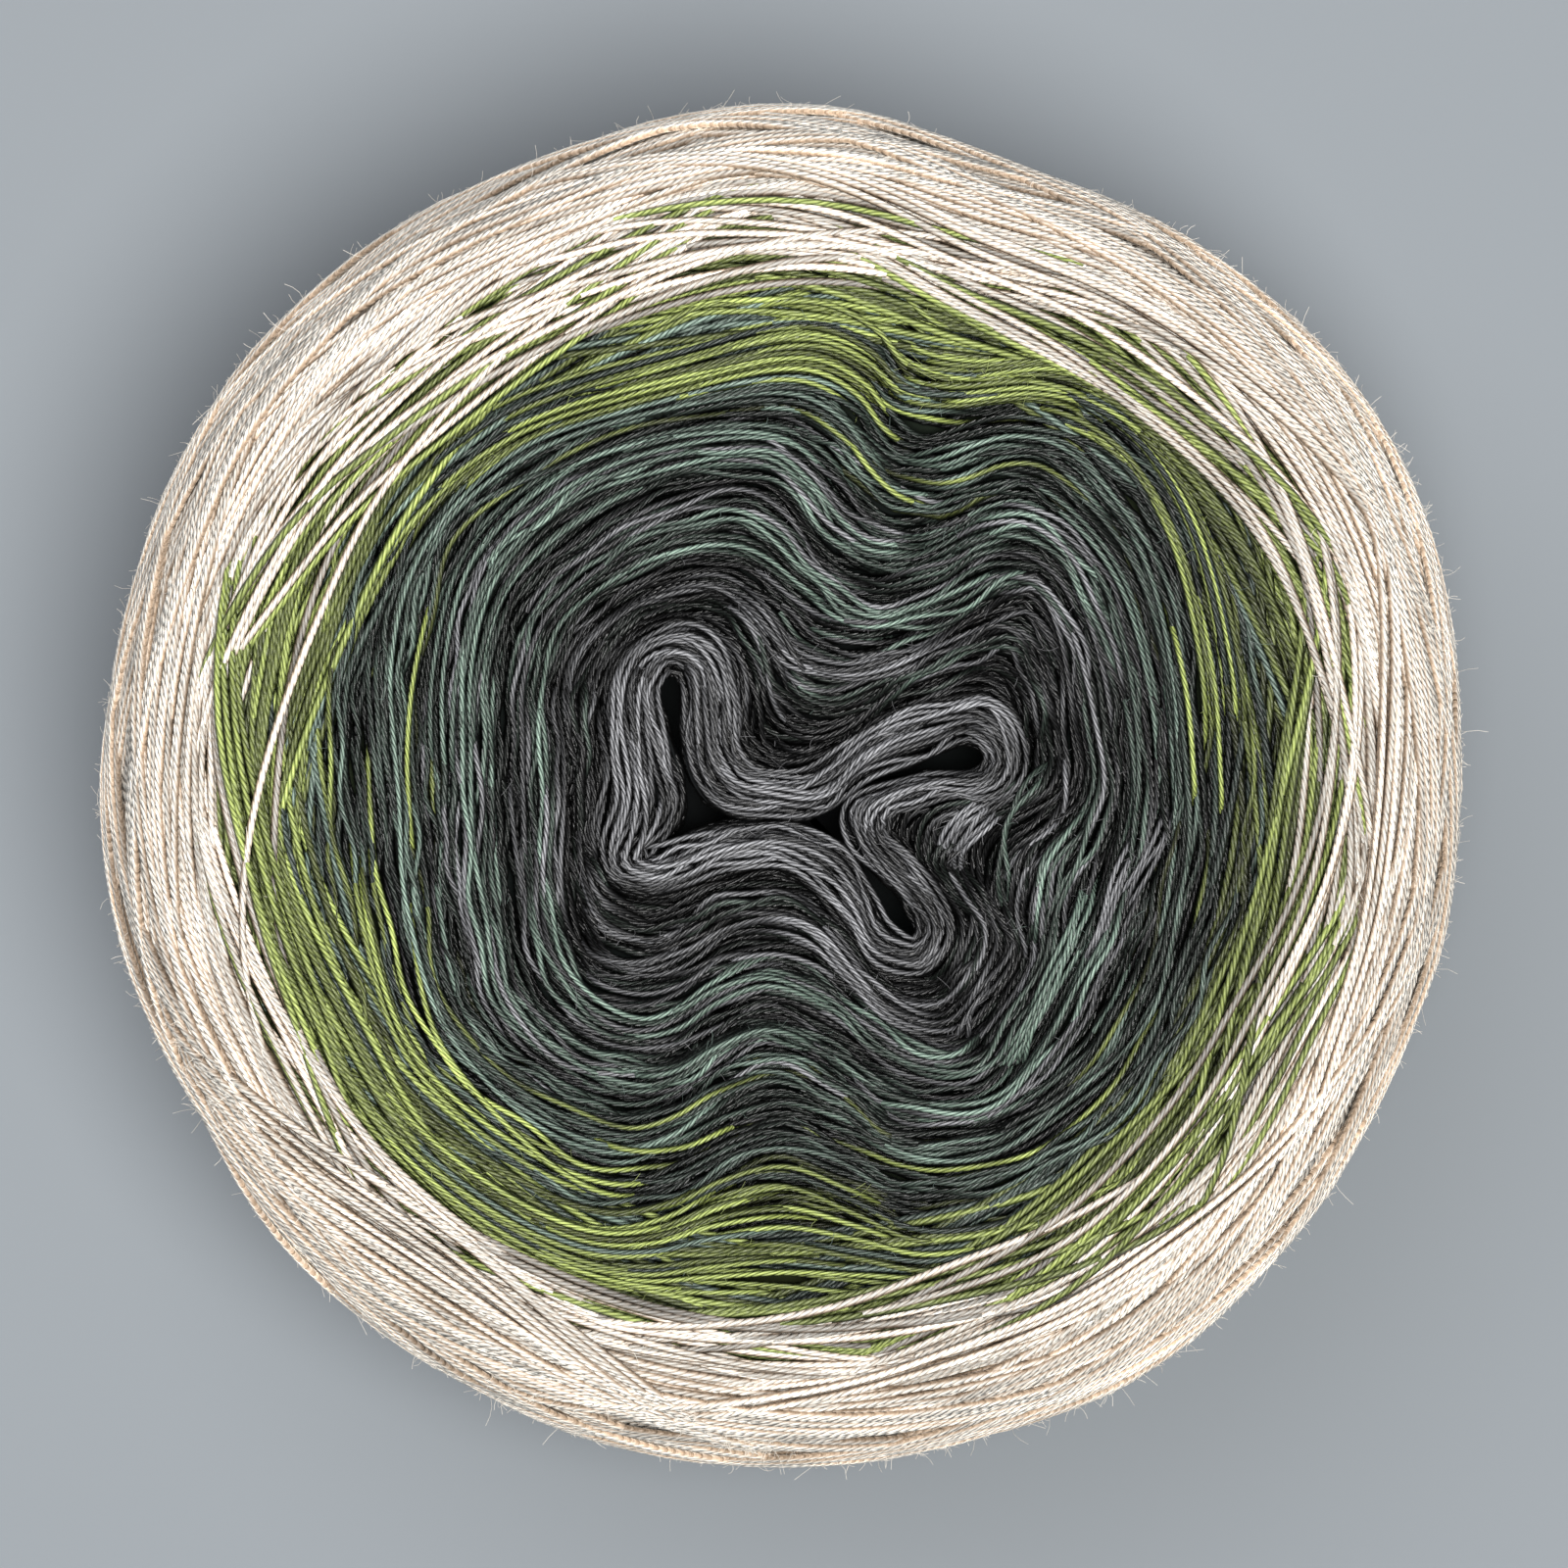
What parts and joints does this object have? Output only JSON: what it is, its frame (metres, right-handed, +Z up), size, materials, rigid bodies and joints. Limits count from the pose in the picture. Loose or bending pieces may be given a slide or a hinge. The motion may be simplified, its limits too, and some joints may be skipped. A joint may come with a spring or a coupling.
{
  "type": "yarn cake",
  "caption": "Barrel-shaped cake of fine yarn lying on its flat face, with a fallen middle folded into hooks and waves, dark inside and cream outside.",
  "frame": {"origin": "on the surface the cake lies on, under the middle of its outline", "axes": "+Z up out of the upper face, along the axis the yarn was wound round; +Y towards the top of the picture, +X to its right"},
  "size_m": [0.12, 0.12, 0.0601],
  "materials": {
    "wound_yarn": "matt twisted thread with a light fuzz, undyed cream on the outside, then moss green, dark teal and charcoal towards the middle"
  },
  "bodies": {
    "root": {"cake": "wound_yarn"}
  },
  "joints": []
}
